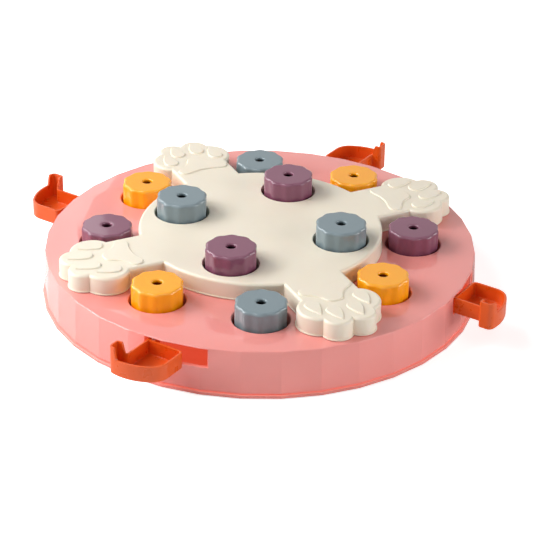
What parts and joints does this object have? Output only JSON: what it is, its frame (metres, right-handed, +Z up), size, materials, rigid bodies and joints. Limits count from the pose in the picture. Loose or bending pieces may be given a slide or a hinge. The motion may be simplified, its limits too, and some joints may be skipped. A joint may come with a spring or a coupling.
{
  "type": "dog puzzle feeder toy",
  "caption": "Round faceted dog puzzle feeder with lift-out fluted plugs, a turntable with raised paw arms and swing-out treat trays in its side wall.",
  "frame": {"origin": "centre of the base on the surface that its feet stand on", "axes": "+Z up along the turntable's axis, front towards -Y, +X to the right"},
  "size_m": [0.3094, 0.3094, 0.0566],
  "materials": {
    "base_pink": "glossy",
    "plate_pink": "glossy",
    "turntable_cream": "satin",
    "plug_yellow": "glossy",
    "plug_mauve": "glossy",
    "plug_grey": "glossy",
    "tray_orange": "satin",
    "washer_white": "matt",
    "steel": "bright zinc plate",
    "foot_rubber": "matt"
  },
  "bodies": {
    "base": {"base_shell": "base_pink", "bottom_plate": "plate_pink", "bottom_screws": "steel", "grip_feet": "foot_rubber", "tray_hinge_pins": "steel"},
    "turntable": {"turntable": "turntable_cream", "paw_arm_back_right": "turntable_cream", "paw_arm_back_left": "turntable_cream", "paw_arm_front_left": "turntable_cream", "paw_arm_front_right": "turntable_cream", "turntable_washer": "washer_white", "turntable_screw": "steel"},
    "rim_plug_back": {"rim_plug_back": "plug_grey"},
    "rim_plug_right": {"rim_plug_right": "plug_mauve"},
    "rim_plug_front": {"rim_plug_front": "plug_grey"},
    "rim_plug_left": {"rim_plug_left": "plug_mauve"},
    "rim_plug_back_right": {"rim_plug_back_right": "plug_yellow"},
    "rim_plug_front_right": {"rim_plug_front_right": "plug_yellow"},
    "rim_plug_front_left": {"rim_plug_front_left": "plug_yellow"},
    "rim_plug_back_left": {"rim_plug_back_left": "plug_yellow"},
    "disc_plug_back": {"disc_plug_back": "plug_mauve"},
    "disc_plug_right": {"disc_plug_right": "plug_grey"},
    "disc_plug_front": {"disc_plug_front": "plug_mauve"},
    "disc_plug_left": {"disc_plug_left": "plug_grey"},
    "tray_front": {"tray_front": "tray_orange"},
    "tray_right": {"tray_right": "tray_orange"},
    "tray_back": {"tray_back": "tray_orange"},
    "tray_left": {"tray_left": "tray_orange"}
  },
  "joints": [
    {"name": "turntable_spin", "type": "hinge", "parent": "base", "child": "turntable", "pos_m": [0, 0, 0.0322], "axis": [0, 0, 1], "range_deg": [-2.6, 2.6]},
    {"name": "rim_plug_lift_back", "type": "slide", "parent": "base", "child": "rim_plug_back", "axis": [0, 0, 1], "range_m": [0, 0.045]},
    {"name": "rim_plug_lift_right", "type": "slide", "parent": "base", "child": "rim_plug_right", "axis": [0, 0, 1], "range_m": [0, 0.045]},
    {"name": "rim_plug_lift_front", "type": "slide", "parent": "base", "child": "rim_plug_front", "axis": [0, 0, 1], "range_m": [0, 0.045]},
    {"name": "rim_plug_lift_left", "type": "slide", "parent": "base", "child": "rim_plug_left", "axis": [0, 0, 1], "range_m": [0, 0.045]},
    {"name": "rim_plug_lift_back_right", "type": "slide", "parent": "base", "child": "rim_plug_back_right", "axis": [0, 0, 1], "range_m": [0, 0.045]},
    {"name": "rim_plug_lift_front_right", "type": "slide", "parent": "base", "child": "rim_plug_front_right", "axis": [0, 0, 1], "range_m": [0, 0.045]},
    {"name": "rim_plug_lift_front_left", "type": "slide", "parent": "base", "child": "rim_plug_front_left", "axis": [0, 0, 1], "range_m": [0, 0.045]},
    {"name": "rim_plug_lift_back_left", "type": "slide", "parent": "base", "child": "rim_plug_back_left", "axis": [0, 0, 1], "range_m": [0, 0.045]},
    {"name": "disc_plug_lift_back", "type": "slide", "parent": "turntable", "child": "disc_plug_back", "axis": [0, 0, 1], "range_m": [0, 0.045]},
    {"name": "disc_plug_lift_right", "type": "slide", "parent": "turntable", "child": "disc_plug_right", "axis": [0, 0, 1], "range_m": [0, 0.045]},
    {"name": "disc_plug_lift_front", "type": "slide", "parent": "turntable", "child": "disc_plug_front", "axis": [0, 0, 1], "range_m": [0, 0.045]},
    {"name": "disc_plug_lift_left", "type": "slide", "parent": "turntable", "child": "disc_plug_left", "axis": [0, 0, 1], "range_m": [0, 0.045]},
    {"name": "tray_front_swing", "type": "hinge", "parent": "base", "child": "tray_front", "pos_m": [-0.06438, -0.12063, 0.02445], "axis": [0, 0, 1], "range_deg": [0, 101]},
    {"name": "tray_right_swing", "type": "hinge", "parent": "base", "child": "tray_right", "pos_m": [0.12063, -0.06438, 0.02445], "axis": [0, 0, 1], "range_deg": [0, 101]},
    {"name": "tray_back_swing", "type": "hinge", "parent": "base", "child": "tray_back", "pos_m": [0.06438, 0.12063, 0.02445], "axis": [0, 0, 1], "range_deg": [0, 101]},
    {"name": "tray_left_swing", "type": "hinge", "parent": "base", "child": "tray_left", "pos_m": [-0.12063, 0.06438, 0.02445], "axis": [0, 0, 1], "range_deg": [0, 101]}
  ]
}
